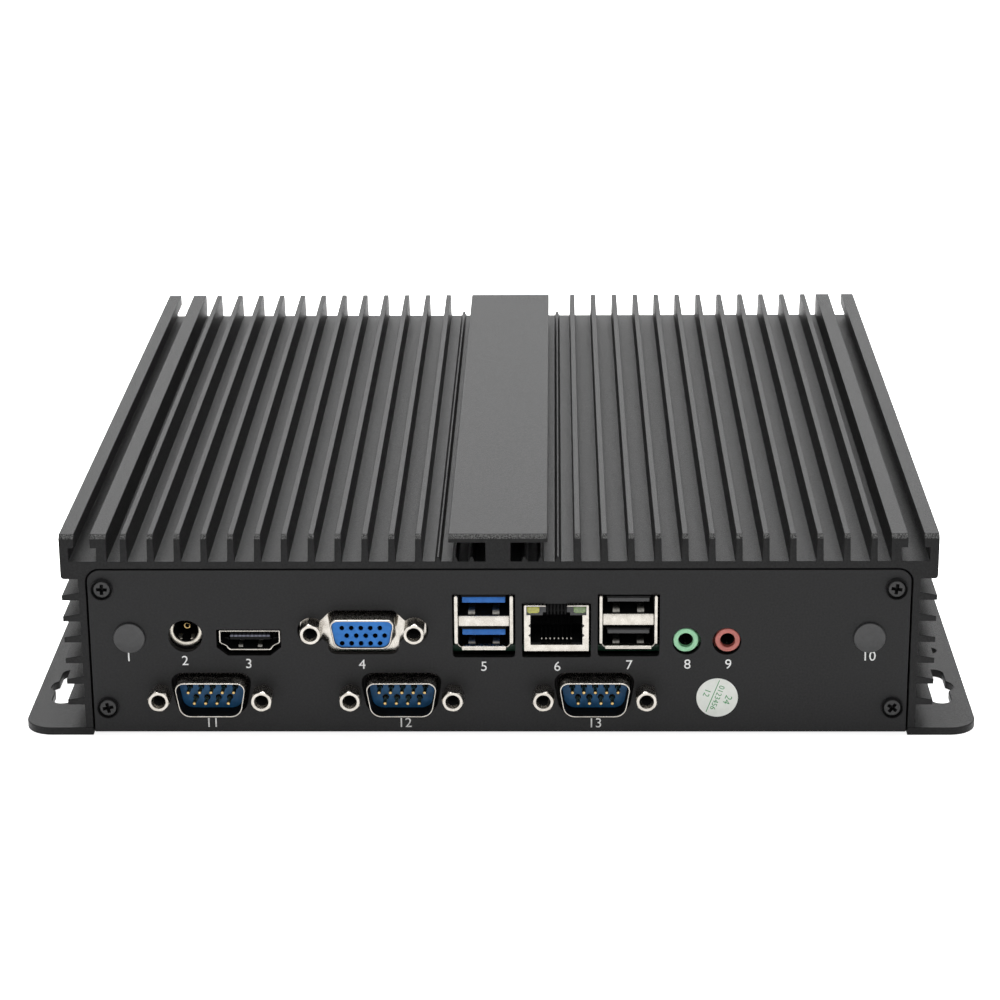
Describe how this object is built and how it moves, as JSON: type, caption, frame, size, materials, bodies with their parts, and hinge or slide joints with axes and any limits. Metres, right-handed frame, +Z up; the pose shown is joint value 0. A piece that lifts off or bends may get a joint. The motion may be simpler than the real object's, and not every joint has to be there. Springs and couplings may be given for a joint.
{
  "type": "point of sale computer",
  "caption": "Fanless box computer: finned black case on a base plate with keyhole ears, front panel with serial, display, bus, network, sound and power ports.",
  "frame": {"origin": "middle of the underside of the base plate", "axes": "+X to the right and +Y to the back, seen from the port side; +Z up through the fins"},
  "size_m": [0.2338, 0.2254, 0.0522],
  "materials": {
    "case_paint": "black anodised and sandblasted aluminium, matt with a fine grain",
    "panel_paint": "fine matt black powder coat",
    "black_screws": "black zinc plating",
    "nickel": "nickel plated steel",
    "gold": "gold flash on copper alloy",
    "brass": "plain turned brass",
    "bare_aluminium": "sawn and milled",
    "circuit_board": "green solder mask on glass epoxy",
    "silicon": "moulded chip package",
    "soft_pad": "soft silicone pad",
    "black_moulding": "glass filled nylon",
    "white_moulding": "nylon",
    "blue_moulding": "bright blue nylon",
    "navy_moulding": "dark blue nylon",
    "green_moulding": "mint green moulding",
    "pink_moulding": "dusty red moulding",
    "clear_lens": "milky light guide",
    "plug_plastic": "black nylon"
  },
  "bodies": {
    "chassis": {"antenna_plug_left": "plug_plastic", "antenna_plug_right": "plug_plastic", "base_plate": "case_paint", "base_screws": "black_screws", "board_screws": "nickel", "board_standoffs": "brass", "coin_cell": "nickel", "coin_cell_holder": "black_moulding", "digital_port_shell": "nickel", "digital_port_tongue": "black_moulding", "drive_socket": "black_moulding", "fast_bus_shell": "nickel", "fast_bus_tongues": "blue_moulding", "front_panel": "panel_paint", "front_panel_screws": "black_screws", "heat_block": "bare_aluminium", "main_board": "circuit_board", "memory_module": "circuit_board", "memory_socket": "black_moulding", "microphone_jack": "pink_moulding", "network_port_contacts": "gold", "network_port_housing": "black_moulding", "network_port_lights": "clear_lens", "network_port_shield": "nickel", "plain_bus_shell": "nickel", "plain_bus_tongues": "black_moulding", "power_button_body": "nickel", "power_button_nut": "nickel", "power_inlet_body": "black_moulding", "power_inlet_pin": "gold", "power_inlet_sleeve": "nickel", "processor": "silicon", "rear_panel": "panel_paint", "rear_panel_screws": "black_screws", "serial_1_insulator": "navy_moulding", "serial_1_jackscrews": "nickel", "serial_1_pins": "gold", "serial_1_shell": "nickel", "serial_2_insulator": "navy_moulding", "serial_2_jackscrews": "nickel", "serial_2_pins": "gold", "serial_2_shell": "nickel", "serial_3_insulator": "navy_moulding", "serial_3_jackscrews": "nickel", "serial_3_pins": "gold", "serial_3_shell": "nickel", "serial_board": "circuit_board", "serial_board_spacers": "white_moulding", "solid_state_drive": "circuit_board", "sound_out_jack": "green_moulding", "stacking_header": "black_moulding", "status_light": "clear_lens", "thermal_pad": "soft_pad", "top_case": "case_paint", "video_insulator": "blue_moulding", "video_jackscrews": "nickel", "video_shell": "nickel"},
    "power_button": {"power_button_cap": "nickel"}
  },
  "joints": [
    {"name": "power_button_press", "type": "slide", "parent": "chassis", "child": "power_button", "axis": [0, -1, 0], "range_m": [0, 0.0012], "stiffness_N_per_m": 1500}
  ]
}
